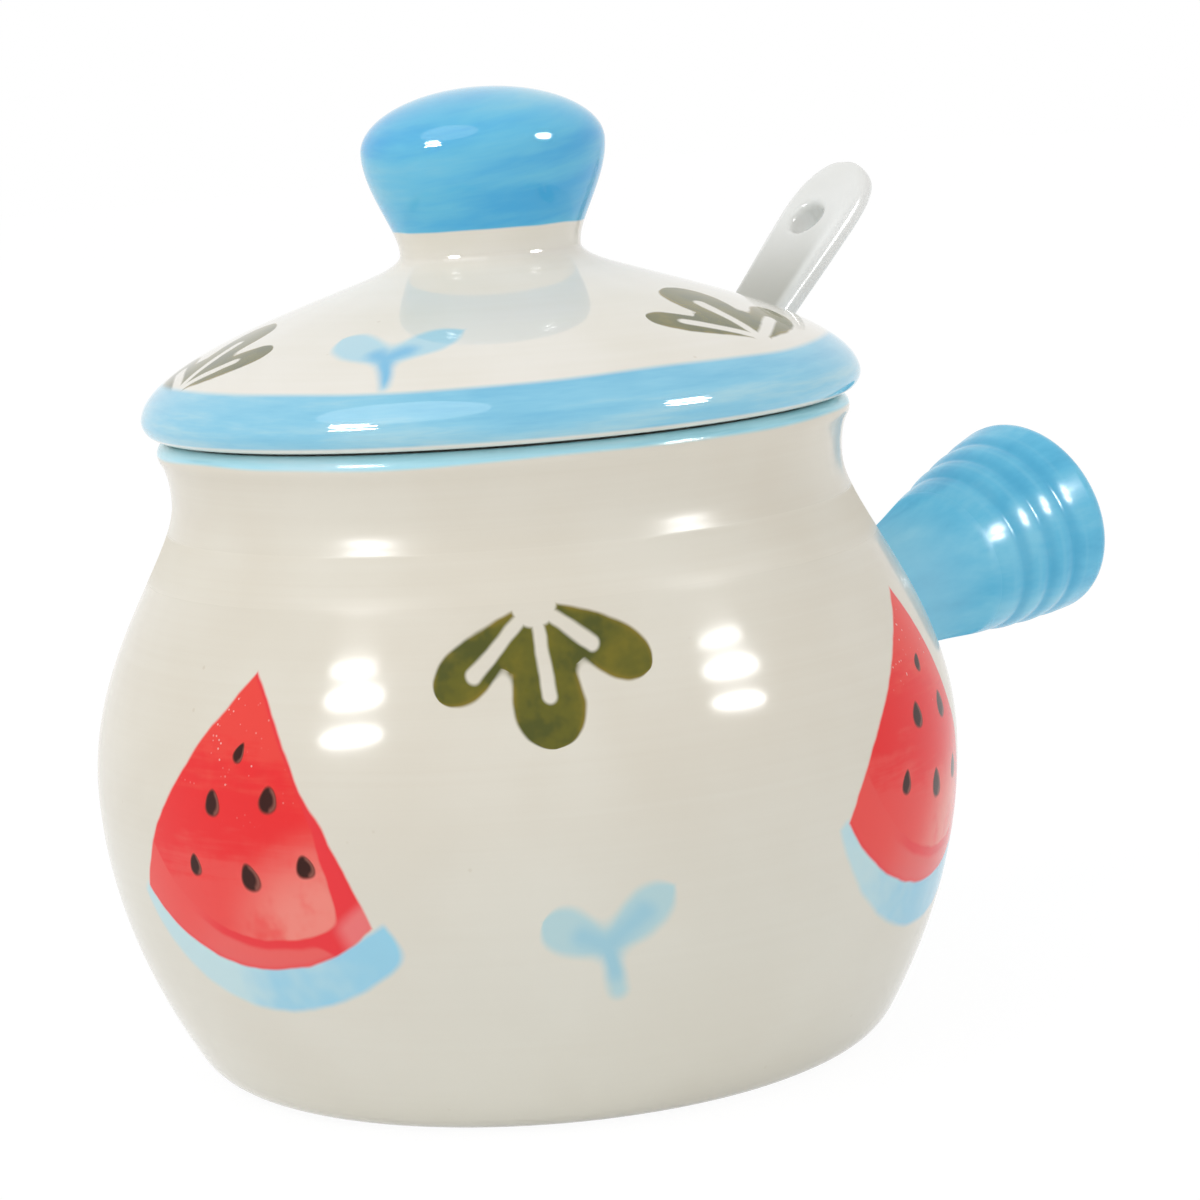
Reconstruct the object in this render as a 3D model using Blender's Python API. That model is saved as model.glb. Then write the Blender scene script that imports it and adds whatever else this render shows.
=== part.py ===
"""Glazed ceramic condiment jar with a hollow side handle, a domed lid with a knob and a spoon.

Units are metres. The origin is the middle of the flat foot, +Z runs up the jar's axis and
+X runs out over the side handle. The spoon stands in the same plane as the handle.
"""

import math

import bmesh
import bpy

MM = 0.001

# Clearances
SEAT_GAP = 0.3 * MM
FLANGE_PLAY = 0.8 * MM
NOTCH_PLAY = 1.4 * MM

# Jar
FOOT_RADIUS = 39.3 * MM
FOOT_EDGE = 3.0 * MM
BELLY_RADIUS = 50.0 * MM
BELLY_HEIGHT = 34.0 * MM
NECK_RADIUS = 38.7 * MM
NECK_HEIGHT = 66.5 * MM
RIM_RADIUS = 39.9 * MM
RIM_HEIGHT = 73.7 * MM
LIP_RADIUS = 1.5 * MM
RIM_FLARE = math.radians(32.0)
JAR_WALL = 4.2 * MM
FLOOR_THICKNESS = 5.0 * MM
FLOOR_FILLET = 6.0 * MM
SHOULDER_PULL = 0.47
NECK_PULL = 0.19

# Side handle
HANDLE_HEIGHT = 40.05 * MM
HANDLE_RISE = math.radians(12.9)
HANDLE_LENGTH = 42.5 * MM
HANDLE_WAIST = 10.2 * MM
HANDLE_WAIST_RADIUS = 7.7 * MM
HANDLE_ROOT_FLARE = 5.2 * MM
HANDLE_END_RADIUS = 13.15 * MM
HANDLE_WALL = 4.4 * MM
HANDLE_BORE_RADIUS = 4.08 * MM
HANDLE_OVERLAP = 8.0 * MM
GROOVE_COUNT = 3
GROOVE_PITCH = 4.5 * MM
GROOVE_DEPTH = 0.35 * MM
LAST_GROOVE_INSET = 6.2 * MM

# Lid
LID_OVERHANG = 1.5 * MM
LID_EDGE = 2.2 * MM
LID_RISE = 18.6 * MM
LID_WALL = 4.0 * MM
FLANGE_DEPTH = 5.5 * MM
FLANGE_WALL = 3.2 * MM
NECK_FILLET = 4.0 * MM

# Knob
KNOB_NECK_RADIUS = 10.4 * MM
KNOB_RADIUS = 14.0 * MM
KNOB_HEIGHT = 18.2 * MM
KNOB_SHOULDER = 11.4 * MM

# Spoon
SPOON_LENGTH = 128.4 * MM
SPOON_LEAN = math.radians(47.2)
BOWL_MIDDLE = 15.64 * MM
BOWL_END = 42.5 * MM
BOWL_RADIUS = 10.0 * MM
BOWL_DEPTH = 6.0 * MM
STEM_RADIUS = 2.6 * MM
STEM_END_RADIUS = 4.1 * MM
STEM_TIP = 8.8 * MM
TIP_RADIUS = 0.3 * MM
SPOON_THICKNESS = 2.6 * MM
STEM_CROWN = 0.65 * MM
HANG_HOLE_RADIUS = 2.2 * MM
HANG_HOLE_INSET = 9.3 * MM

# Facets
ROUND = 60
TUBE = 36
CURVE = 8

CREAM = (0.76, 0.71, 0.61, 1.0)
BLUE = (0.13, 0.46, 0.69, 1.0)
WHITE = (0.80, 0.80, 0.77, 1.0)


def curve(points, steps):
    """Points along the smooth curve drawn by its end points and the handles between them."""
    line = []
    for step in range(steps + 1):
        share = step / steps
        level = list(points)
        while len(level) > 1:
            level = [
                tuple(p + (q - p) * share for p, q in zip(first, second))
                for first, second in zip(level, level[1:])
            ]
        line.append(level[0])
    return line


def arc(centre, radius, start, end, steps):
    """Points along a round corner, angles in radians from the outward direction."""
    line = []
    for step in range(steps + 1):
        angle = start + (end - start) * step / steps
        line.append((centre[0] + radius * math.cos(angle), centre[1] + radius * math.sin(angle)))
    return line


def finish(bm, name, material):
    """Close the surface, turn it outward and add it to the scene as one smooth object."""
    bmesh.ops.remove_doubles(bm, verts=bm.verts, dist=1e-7)
    bmesh.ops.recalc_face_normals(bm, faces=bm.faces)
    mesh = bpy.data.meshes.new(name)
    bm.to_mesh(mesh)
    bm.free()
    for face in mesh.polygons:
        face.use_smooth = True
    if material:
        mesh.materials.append(material)
    piece = bpy.data.objects.new(name, mesh)
    bpy.context.scene.collection.objects.link(piece)
    return piece


def turned(name, outline, segments, material=None, ring=False):
    """Spin an outline of (radius, height) points about the upright axis."""
    bm = bmesh.new()
    verts = [bm.verts.new((radius, 0.0, height)) for radius, height in outline]
    followers = verts[1:] + verts[:1] if ring else verts[1:]
    edges = [bm.edges.new(pair) for pair in zip(verts, followers)]
    bmesh.ops.spin(
        bm,
        geom=verts + edges,
        cent=(0.0, 0.0, 0.0),
        axis=(0.0, 0.0, 1.0),
        angle=2.0 * math.pi,
        steps=segments,
        use_merge=True,
    )
    return finish(bm, name, material)


def lofted(name, rings, material=None):
    """Join closed rings of points into one skin with a flat cap at each end."""
    bm = bmesh.new()
    loops = [[bm.verts.new(point) for point in ring] for ring in rings]
    for loop, follower in zip(loops, loops[1:]):
        count = len(loop)
        for index in range(count):
            after = (index + 1) % count
            bm.faces.new((loop[index], loop[after], follower[after], follower[index]))
    bm.faces.new(loops[0])
    bm.faces.new(loops[-1])
    return finish(bm, name, material)


def glaze(name, colour):
    """Glossy glaze of one colour."""
    material = bpy.data.materials.new(name)
    material.use_nodes = True
    shader = material.node_tree.nodes["Principled BSDF"]
    shader.inputs["Base Color"].default_value = colour
    shader.inputs["Roughness"].default_value = 0.18
    shader.inputs["Metallic"].default_value = 0.0
    return material


def cut(piece, cutter):
    """Take the cutter's shape out of the piece and hide the cutter."""
    modifier = piece.modifiers.new(cutter.name, "BOOLEAN")
    modifier.operation = "DIFFERENCE"
    modifier.solver = "EXACT"
    modifier.object = cutter
    cutter.hide_render = True
    cutter.display_type = "WIRE"


# Jar: one wall turned from the foot to the rounded rim and back down to the floor
LIP_CENTRE = (RIM_RADIUS - LIP_RADIUS, RIM_HEIGHT - LIP_RADIUS)
MOUTH_RADIUS = NECK_RADIUS - JAR_WALL


def jar_outside():
    """Outer side of the jar from the foot edge up to the start of the rim."""
    flare = arc(LIP_CENTRE, LIP_RADIUS, -RIM_FLARE, -RIM_FLARE, 1)[0]
    flare_rise = (flare[0] - NECK_RADIUS) / math.tan(RIM_FLARE)
    shoulder = NECK_HEIGHT - BELLY_HEIGHT
    lower = [(FOOT_RADIUS, 0.0), (BELLY_RADIUS, BELLY_HEIGHT / 2), (BELLY_RADIUS, BELLY_HEIGHT)]
    edge_point = curve(lower, 24)[2]
    edge = [(FOOT_RADIUS - FOOT_EDGE, 0.0), (FOOT_RADIUS, 0.0), edge_point]
    upper = [
        (BELLY_RADIUS, BELLY_HEIGHT),
        (BELLY_RADIUS, BELLY_HEIGHT + SHOULDER_PULL * shoulder),
        (NECK_RADIUS, NECK_HEIGHT - NECK_PULL * shoulder),
        (NECK_RADIUS, NECK_HEIGHT),
    ]
    throat = [(NECK_RADIUS, NECK_HEIGHT), (NECK_RADIUS, flare[1] - flare_rise), flare]
    return (
        curve(edge, 3)
        + curve(lower, 24)[4::4]
        + curve(upper, 9)[1:]
        + curve(throat, 3)[1:-1]
    )


def jar_inside():
    """Inner side of the jar from the rim down to the middle of the floor."""
    belly = BELLY_RADIUS - JAR_WALL
    shoulder = NECK_HEIGHT - BELLY_HEIGHT
    floor_radius = FOOT_RADIUS - JAR_WALL
    inner_lip = (RIM_RADIUS - 2.0 * LIP_RADIUS, LIP_CENTRE[1])
    throat = [inner_lip, (MOUTH_RADIUS, (LIP_CENTRE[1] + NECK_HEIGHT) / 2), (MOUTH_RADIUS, NECK_HEIGHT)]
    upper = [
        (MOUTH_RADIUS, NECK_HEIGHT),
        (MOUTH_RADIUS, NECK_HEIGHT - NECK_PULL * shoulder),
        (belly, BELLY_HEIGHT + SHOULDER_PULL * shoulder),
        (belly, BELLY_HEIGHT),
    ]
    lower = [
        (belly, BELLY_HEIGHT),
        (belly, (BELLY_HEIGHT + FLOOR_THICKNESS) / 2),
        (floor_radius + FLOOR_FILLET / 2, FLOOR_THICKNESS + FLOOR_FILLET),
    ]
    corner = [lower[-1], (floor_radius, FLOOR_THICKNESS), (floor_radius - FLOOR_FILLET, FLOOR_THICKNESS)]
    return (
        curve(throat, 3)[1:]
        + curve(upper, 7)[1:]
        + curve(lower, 5)[1:]
        + curve(corner, 4)[1:]
    )


def jar_outline():
    """Whole outline of the jar's wall from the middle of the foot to the middle of the floor."""
    lip = arc(LIP_CENTRE, LIP_RADIUS, -RIM_FLARE, math.pi, 6)
    return [(0.0, 0.0)] + jar_outside() + lip + jar_inside() + [(0.0, FLOOR_THICKNESS)]


# Side handle: a flared tube with soft rings, trimmed to the jar's wall
def handle_outside():
    """Outer side of the handle as (radius, distance from the jar)."""
    lip = HANDLE_WALL / 2
    flare_end = HANDLE_LENGTH - lip
    run = flare_end - HANDLE_WAIST
    swell = HANDLE_END_RADIUS - HANDLE_WAIST_RADIUS
    waist = (HANDLE_WAIST_RADIUS, HANDLE_WAIST)
    root = [
        (HANDLE_WAIST_RADIUS + HANDLE_ROOT_FLARE, -HANDLE_OVERLAP),
        (HANDLE_WAIST_RADIUS, 0.2 * HANDLE_WAIST),
        waist,
    ]
    flare = [
        waist,
        (HANDLE_WAIST_RADIUS, HANDLE_WAIST + 0.3 * run),
        (HANDLE_WAIST_RADIUS + 0.725 * swell, HANDLE_WAIST + 0.5 * run),
        (HANDLE_END_RADIUS, flare_end),
    ]
    line = curve(root, 4)[:-1]
    for radius, distance in curve(flare, 26):
        line.append((radius - groove_cut(distance), distance))
    return line


def groove_cut(distance):
    """Depth of the soft grooves at one distance from the jar."""
    depth = 0.0
    for number in range(GROOVE_COUNT):
        middle = HANDLE_LENGTH - LAST_GROOVE_INSET - number * GROOVE_PITCH
        offset = 2.0 * (distance - middle) / GROOVE_PITCH
        if abs(offset) < 1.0:
            depth += GROOVE_DEPTH * (0.5 + 0.5 * math.cos(math.pi * offset))
    return depth


def handle_outline():
    """Closed outline of the handle's wall with its rounded open end."""
    lip = HANDLE_WALL / 2
    outside = handle_outside()
    end = arc((HANDLE_END_RADIUS - lip, HANDLE_LENGTH - lip), lip, 0.0, math.pi, 8)
    bore = [
        (HANDLE_END_RADIUS - HANDLE_WALL, HANDLE_LENGTH - lip),
        (HANDLE_BORE_RADIUS, 0.5 * HANDLE_LENGTH),
        (HANDLE_BORE_RADIUS, -HANDLE_OVERLAP),
    ]
    return outside[:-1] + end + curve(bore, 6)[1:]


# Lid: a dome with a locating flange under it and a short neck for the knob
LID_SEAT = RIM_HEIGHT + SEAT_GAP
LID_RADIUS = RIM_RADIUS + LID_OVERHANG
FLANGE_RADIUS = MOUTH_RADIUS - FLANGE_PLAY


def lid_outline():
    """Outline of the lid about its own seat, from the top of the neck round to the underside."""
    hollow_radius = FLANGE_RADIUS - FLANGE_WALL
    hollow_top = LID_RISE - 1.6 * LID_WALL
    neck = [
        (KNOB_NECK_RADIUS, LID_RISE),
        (KNOB_NECK_RADIUS, LID_RISE - 0.28 * NECK_FILLET),
        (KNOB_NECK_RADIUS + NECK_FILLET, LID_RISE - 0.62 * NECK_FILLET),
    ]
    dome = [
        neck[-1],
        (KNOB_NECK_RADIUS + 0.42 * (LID_RADIUS - KNOB_NECK_RADIUS), 0.70 * LID_RISE),
        (LID_RADIUS - LID_EDGE / 3, 0.44 * LID_RISE),
        (LID_RADIUS, LID_EDGE),
    ]
    edge = arc((LID_RADIUS - LID_EDGE, LID_EDGE), LID_EDGE, 0.0, -math.pi / 2, 4)
    flange_corner = FLANGE_WALL / 2
    flange_end = arc(
        (FLANGE_RADIUS - flange_corner, flange_corner - FLANGE_DEPTH),
        flange_corner,
        0.0,
        -math.pi,
        6,
    )
    hollow = [
        (hollow_radius, LID_EDGE),
        (hollow_radius - LID_WALL, hollow_top),
        (0.0, hollow_top),
    ]
    return (
        [(0.0, LID_RISE)]
        + curve(neck, 4)
        + curve(dome, 10)[1:]
        + edge[1:]
        + [(FLANGE_RADIUS, 0.0)]
        + flange_end
        + curve(hollow, 6)
    )


# Knob: a flared button standing on the lid's neck
def knob_outline():
    """Outline of the knob about its own foot."""
    flare = [
        (KNOB_NECK_RADIUS, 0.0),
        (KNOB_NECK_RADIUS, 0.22 * KNOB_SHOULDER),
        (KNOB_RADIUS, 0.62 * KNOB_SHOULDER),
        (KNOB_RADIUS, KNOB_SHOULDER),
    ]
    crown = [
        (KNOB_RADIUS, KNOB_SHOULDER),
        (KNOB_RADIUS, KNOB_SHOULDER + 0.55 * (KNOB_HEIGHT - KNOB_SHOULDER)),
        (0.55 * KNOB_RADIUS, KNOB_HEIGHT),
        (0.0, KNOB_HEIGHT),
    ]
    return [(0.0, 0.0)] + curve(flare, CURVE) + curve(crown, CURVE)[1:]


# Spoon: a dished bowl that runs on into an oval stem; it leans on the rim's inner side
def spoon_line_start():
    """Point of the spoon's underside line that lies on the rim, as (x, z)."""
    lift = LIP_RADIUS + SEAT_GAP
    x = LIP_CENTRE[0] - lift * math.cos(SPOON_LEAN)
    z = LIP_CENTRE[1] + lift * math.sin(SPOON_LEAN)
    return x, z


def spoon_reach():
    """Distance down the spoon's line from the rim to where its tip meets the jar's wall."""
    start = spoon_line_start()
    needed = SPOON_THICKNESS + SEAT_GAP
    wall = [(-radius, height) for radius, height in jar_inside()]
    reach = 0.0
    clear = True
    while clear:
        reach += 0.1 * MM
        x = start[0] - reach * math.sin(SPOON_LEAN)
        z = start[1] - reach * math.cos(SPOON_LEAN)
        nearest = min(math.hypot(x - point[0], z - point[1]) for point in wall)
        clear = nearest > needed and z > FLOOR_THICKNESS + needed
    return reach


def spoon_section(distance):
    """Half width, dish, sink and crown of the spoon at one distance from its tip."""
    stem_end = SPOON_LENGTH - STEM_TIP
    if distance < BOWL_MIDDLE:
        swell = math.sqrt(max(1.0 - (1.0 - distance / BOWL_MIDDLE) ** 2, 0.0))
        return BOWL_RADIUS * swell, BOWL_DEPTH * swell, BOWL_DEPTH * swell ** 2, 0.0
    if distance < BOWL_END:
        fade = 0.5 + 0.5 * math.cos(math.pi * (distance - BOWL_MIDDLE) / (BOWL_END - BOWL_MIDDLE))
        return (
            STEM_RADIUS + (BOWL_RADIUS - STEM_RADIUS) * fade,
            BOWL_DEPTH * fade,
            BOWL_DEPTH * fade,
            STEM_CROWN * (1.0 - fade),
        )
    if distance < stem_end:
        share = (distance - BOWL_END) / (stem_end - BOWL_END)
        return STEM_RADIUS + (STEM_END_RADIUS - STEM_RADIUS) * share, 0.0, 0.0, STEM_CROWN
    taper = math.sqrt(max(1.0 - ((distance - stem_end) / STEM_TIP) ** 2, 0.0))
    return STEM_END_RADIUS * taper, 0.0, 0.0, STEM_CROWN * taper


def spoon_ring(distance):
    """Closed ring round the spoon at one distance from its tip, its middle swelled by the crown."""
    width, dish, sink, crown = spoon_section(distance)
    width = max(width, TIP_RADIUS)
    half = SPOON_THICKNESS / 2
    middle = half + STEM_CROWN - sink
    upper = []
    lower = []
    for step in range(-4, 5):
        across = step / 4
        slope = 2.0 * dish * across / width
        scale = half / math.hypot(slope, 1.0)
        y = width * across
        z = middle + dish * across ** 2
        swell = scale + crown * (1.0 - across ** 2)
        upper.append((distance, y - slope * scale, z + swell))
        lower.append((distance, y + slope * scale, z - swell))
    tilt = math.atan2(2.0 * dish, width)
    rise = middle + dish
    cap = [(distance, width + half * math.cos(angle + tilt), rise + half * math.sin(angle + tilt))
           for angle in (math.pi / 4, 0.0, -math.pi / 4)]
    other_cap = [(distance, -y, z) for distance, y, z in reversed(cap)]
    return upper + cap + lower[::-1] + other_cap


def spoon_rings():
    """Rings from the tip of the bowl to the end of the stem, closer where the shape turns."""
    stem_end = SPOON_LENGTH - STEM_TIP
    places = [BOWL_MIDDLE * (1.0 - math.cos(math.pi / 2 * step / 7)) for step in range(7)]
    places += [BOWL_MIDDLE + (BOWL_END - BOWL_MIDDLE) * step / 9 for step in range(9)]
    places += [BOWL_END + (stem_end - BOWL_END) * step / 3 for step in range(3)]
    places += [stem_end + STEM_TIP * math.sin(math.pi / 2 * step / 7) for step in range(8)]
    return [spoon_ring(place) for place in places]


def notch_rings():
    """Two ends of the straight channel in the lid that the spoon passes along."""
    width = STEM_END_RADIUS + SPOON_THICKNESS / 2 + NOTCH_PLAY
    depth = SPOON_THICKNESS + 2.0 * STEM_CROWN + NOTCH_PLAY
    corner = 0.6 * width
    round_end = arc((width - corner, depth - corner), corner, 0.0, math.pi / 2, 4)
    outline = [(width, -2.0 * LID_RADIUS)] + round_end
    outline += [(-y, z) for y, z in reversed(outline)]
    return [[(place, y, z) for y, z in outline] for place in (-LID_RADIUS, 2.0 * LID_RADIUS)]


for leftover in list(bpy.data.objects):
    bpy.data.objects.remove(leftover)

jar = turned("jar_body", jar_outline(), ROUND, glaze("cream_glaze_jar", CREAM))

handle = turned("side_handle", handle_outline(), TUBE, glaze("blue_glaze_handle", BLUE), ring=True)
handle.parent = jar
handle.location = (BELLY_RADIUS, 0.0, HANDLE_HEIGHT)
handle.rotation_euler = (0.0, math.pi / 2 - HANDLE_RISE, 0.0)

envelope = [(radius + SEAT_GAP, height) for radius, height in jar_outside()]
jar_envelope = turned("jar_envelope", [(0.0, 0.0)] + envelope + [(0.0, envelope[-1][1])], ROUND)
cut(handle, jar_envelope)

lid = turned("lid_shell", lid_outline(), ROUND, glaze("cream_glaze_lid", CREAM))
lid.location = (0.0, 0.0, LID_SEAT)

knob = turned("lid_knob", knob_outline(), TUBE, glaze("blue_glaze_knob", BLUE))
knob.parent = lid
knob.location = (0.0, 0.0, LID_RISE + SEAT_GAP)

rim_x, rim_z = spoon_line_start()
tip_reach = spoon_reach()
lean_turn = (0.0, SPOON_LEAN - math.pi / 2, 0.0)

spoon = lofted("spoon", spoon_rings(), glaze("white_glaze_spoon", WHITE))
spoon.location = (
    rim_x - tip_reach * math.sin(SPOON_LEAN),
    0.0,
    rim_z - tip_reach * math.cos(SPOON_LEAN),
)
spoon.rotation_euler = lean_turn

hole_foot = -SPOON_THICKNESS
hole_top = 3.0 * SPOON_THICKNESS
hole_outline = [
    (0.0, hole_foot),
    (HANG_HOLE_RADIUS, hole_foot),
    (HANG_HOLE_RADIUS, hole_top),
    (0.0, hole_top),
]
hang_hole = turned("hang_hole", hole_outline, 24)
hang_hole.parent = spoon
hang_hole.location = (SPOON_LENGTH - HANG_HOLE_INSET, 0.0, 0.0)
cut(spoon, hang_hole)

notch = lofted("spoon_notch", notch_rings())
notch.location = (rim_x, 0.0, rim_z)
notch.rotation_euler = lean_turn
cut(lid, notch)
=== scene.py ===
import math

import bmesh
import bpy
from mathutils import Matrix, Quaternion, Vector


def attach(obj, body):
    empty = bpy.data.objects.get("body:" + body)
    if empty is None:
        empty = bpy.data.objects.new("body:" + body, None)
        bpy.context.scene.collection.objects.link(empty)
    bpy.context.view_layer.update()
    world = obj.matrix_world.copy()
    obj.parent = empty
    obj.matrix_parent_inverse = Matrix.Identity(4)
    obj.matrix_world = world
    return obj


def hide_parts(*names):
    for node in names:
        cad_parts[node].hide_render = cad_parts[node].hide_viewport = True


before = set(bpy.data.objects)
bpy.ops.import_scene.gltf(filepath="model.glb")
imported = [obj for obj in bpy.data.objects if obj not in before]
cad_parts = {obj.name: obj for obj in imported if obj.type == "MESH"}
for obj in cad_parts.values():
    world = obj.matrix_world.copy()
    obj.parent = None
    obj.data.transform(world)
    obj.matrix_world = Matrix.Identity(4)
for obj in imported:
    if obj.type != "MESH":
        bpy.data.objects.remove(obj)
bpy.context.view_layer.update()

mm = 0.001
near = 1e-6  # in metres
print("frame loaded:", ", ".join(sorted(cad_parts)))


# an outline is a list of (radius, height) points in mm
def curve(points, steps):
    line = []
    for step in range(steps + 1):
        level = [Vector(point) for point in points]
        while len(level) > 1:
            level = [a.lerp(b, step / steps) for a, b in zip(level, level[1:])]
        line.append(tuple(level[0]))
    return line


def roundCorner(centre, radius, start, end, steps):
    line = []
    for step in range(steps + 1):
        angle = math.radians(start + (end - start) * step / steps)
        line.append((centre[0] + radius * math.cos(angle), centre[1] + radius * math.sin(angle)))
    return line


# joins runs of points and leaves out those that fall together
def chain(*runs, apart=0.01):
    line = []
    for run in runs:
        for point in run:
            if not line or math.dist(line[-1], point) > apart:
                line.append(point)
    return line


def lifted(line, height):
    return [(radius, level + height) for radius, level in line]


def startClean():
    if bpy.context.mode != "OBJECT":
        bpy.ops.object.mode_set(mode="OBJECT")
    bpy.ops.object.select_all(action="DESELECT")


def pickOnly(shape):
    startClean()
    shape.select_set(True)
    bpy.context.view_layer.objects.active = shape


def pickVerts(test):
    bpy.ops.mesh.select_mode(type="VERT")
    bpy.ops.mesh.select_all(action="DESELECT")
    mesh = bmesh.from_edit_mesh(bpy.context.object.data)
    for vert in mesh.verts:
        vert.select_set(test(vert.co))
    mesh.select_flush_mode()
    bmesh.update_edit_mesh(bpy.context.object.data)


# the picked ring runs together to one point on the axis
def closePole(height):
    bpy.ops.mesh.extrude_region_move()
    bpy.ops.mesh.merge(type="CENTER")
    picked = [v for v in bmesh.from_edit_mesh(bpy.context.object.data).verts if v.select]
    bpy.ops.transform.translate(value=(0, 0, height * mm - picked[0].co.z))


def cleanMesh(weld=0.002):
    bpy.ops.mesh.select_all(action="SELECT")
    bpy.ops.mesh.remove_doubles(threshold=weld * mm)
    bpy.ops.mesh.normals_make_consistent(inside=False)
    bpy.ops.object.mode_set(mode="OBJECT")


# a ring is pulled along the outline; a point on the axis closes the end to a pole
def turnShape(name, outline, around):
    rings = [point for point in outline if point[0] > 0.0]
    startClean()
    bpy.ops.mesh.primitive_circle_add(
        vertices=around, radius=rings[0][0] * mm, location=(0, 0, rings[0][1] * mm))
    shape = bpy.context.object
    shape.name = shape.data.name = name
    bpy.ops.object.transform_apply()
    bpy.ops.object.mode_set(mode="EDIT")
    bpy.ops.mesh.select_mode(type="VERT")
    bpy.ops.mesh.select_all(action="SELECT")
    for (fromRadius, fromHeight), (toRadius, toHeight) in zip(rings, rings[1:]):
        bpy.ops.mesh.extrude_region_move(
            TRANSFORM_OT_translate={"value": (0, 0, (toHeight - fromHeight) * mm)})
        share = toRadius / fromRadius
        bpy.ops.transform.resize(value=(share, share, 1), center_override=(0, 0, 0))
    if outline[-1][0] == 0.0:
        closePole(outline[-1][1])
    if outline[0][0] == 0.0:
        radius, height = rings[0][0] * mm, rings[0][1] * mm
        pickVerts(lambda co: abs(co.z - height) < near and abs(co.xy.length - radius) < near)
        closePole(outline[0][1])
    cleanMesh()
    return shape


def place(shape, location, turn):
    pickOnly(shape)
    shape.location = [value * mm for value in location]
    shape.rotation_euler = [math.radians(value) for value in turn]
    bpy.ops.object.transform_apply()


def applyModifier(shape, kind, **settings):
    pickOnly(shape)
    modifier = shape.modifiers.new(kind.lower(), kind)
    for key, value in settings.items():
        setattr(modifier, key, value)
    bpy.ops.object.modifier_apply(modifier=modifier.name)


def cutAway(shape, cutter):
    applyModifier(shape, "BOOLEAN", operation="DIFFERENCE", solver="EXACT", object=cutter)
    bpy.data.objects.remove(cutter)


def smooth(shape, angle=50.0):
    pickOnly(shape)
    bpy.ops.object.shade_smooth_by_angle(angle=math.radians(angle))


# a wire is a node's output that takes part in sums
class Wire:
    def __init__(self, graph, socket):
        self.graph = graph
        self.socket = socket

    def calc(self, operation, *others):
        inputs = dict(enumerate((self,) + others))
        return self.graph.node("ShaderNodeMath", {"operation": operation}, inputs)

    def calcBack(self, operation, other):
        return self.graph.node("ShaderNodeMath", {"operation": operation}, {0: other, 1: self})

    def __add__(self, other):
        return self.calc("ADD", other)

    def __radd__(self, other):
        return self.calcBack("ADD", other)

    def __sub__(self, other):
        return self.calc("SUBTRACT", other)

    def __rsub__(self, other):
        return self.calcBack("SUBTRACT", other)

    def __mul__(self, other):
        return self.calc("MULTIPLY", other)

    def __rmul__(self, other):
        return self.calcBack("MULTIPLY", other)

    def __truediv__(self, other):
        return self.calc("DIVIDE", other)

    def __rtruediv__(self, other):
        return self.calcBack("DIVIDE", other)

    def __pow__(self, other):
        return self.calc("POWER", other)

    def __rpow__(self, other):
        return self.calcBack("POWER", other)

    def __neg__(self):
        return self.calc("MULTIPLY", -1.0)

    def __abs__(self):
        return self.calc("ABSOLUTE")


class Graph:
    def __init__(self, tree):
        self.nodes = tree.nodes
        self.links = tree.links

    def node(self, kind, settings=None, inputs=None, out=0):
        made = self.nodes.new(kind)
        for key, value in (settings or {}).items():
            setattr(made, key, value)
        for key, value in (inputs or {}).items():
            if isinstance(value, Wire):
                self.links.new(value.socket, made.inputs[key])
            else:
                made.inputs[key].default_value = value
        return Wire(self, made.outputs[out])

    def feed(self, nodeName, inputName, wire):
        self.links.new(wire.socket, self.nodes[nodeName].inputs[inputName])

    def fixed(self, nodeName, **values):
        for key, value in values.items():
            self.nodes[nodeName].inputs[key.replace("_", " ")].default_value = value


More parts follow.
